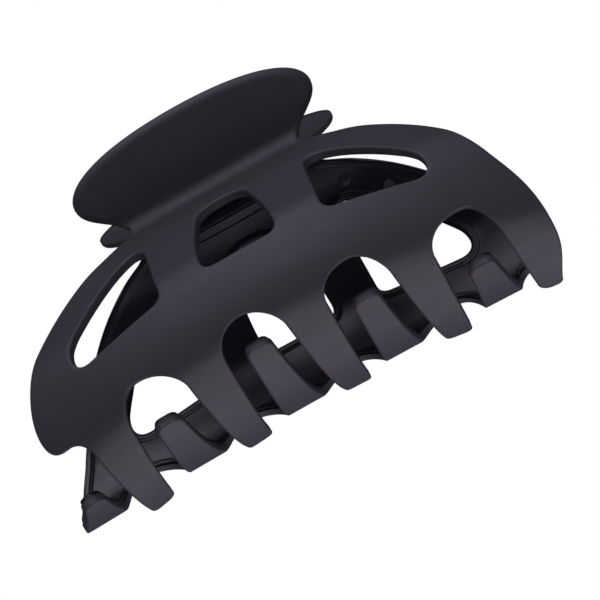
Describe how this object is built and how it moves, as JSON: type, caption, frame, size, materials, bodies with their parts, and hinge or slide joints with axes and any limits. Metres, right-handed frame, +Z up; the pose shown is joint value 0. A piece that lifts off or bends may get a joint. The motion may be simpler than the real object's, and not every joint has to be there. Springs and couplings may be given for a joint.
{
  "type": "claw clip",
  "caption": "Large claw clip for hair: two curved, windowed jaws with long interleaving teeth, hinged on a sprung pin and opened by squeezing two thumb paddles.",
  "frame": {"origin": "on the ground under the middle of the clip, which stands closed on the tips of its end teeth", "axes": "+X along the clip and the hinge pin, +Y towards the rear jaw, +Z up from the teeth to the paddles"},
  "size_m": [0.1078, 0.046, 0.0648],
  "materials": {
    "jaw_plastic": "fine matte moulded surface outside, smoother and glossier inside",
    "pin_steel": "plain drawn steel pin with peened heads",
    "spring_steel": "drawn spring wire"
  },
  "bodies": {
    "rear": {"rear_jaw": "jaw_plastic", "hinge_pin": "pin_steel", "torsion_spring": "spring_steel"},
    "front": {"front_jaw": "jaw_plastic", "spring_front_leg": "spring_steel"}
  },
  "joints": [
    {"name": "jaw_hinge", "type": "hinge", "parent": "rear", "child": "front", "pos_m": [0, 0, 0.05396], "axis": [-1, 0, 0], "range_deg": [0, 65], "stiffness_Nm_per_rad": 0.05, "springref_deg": -57.3}
  ]
}
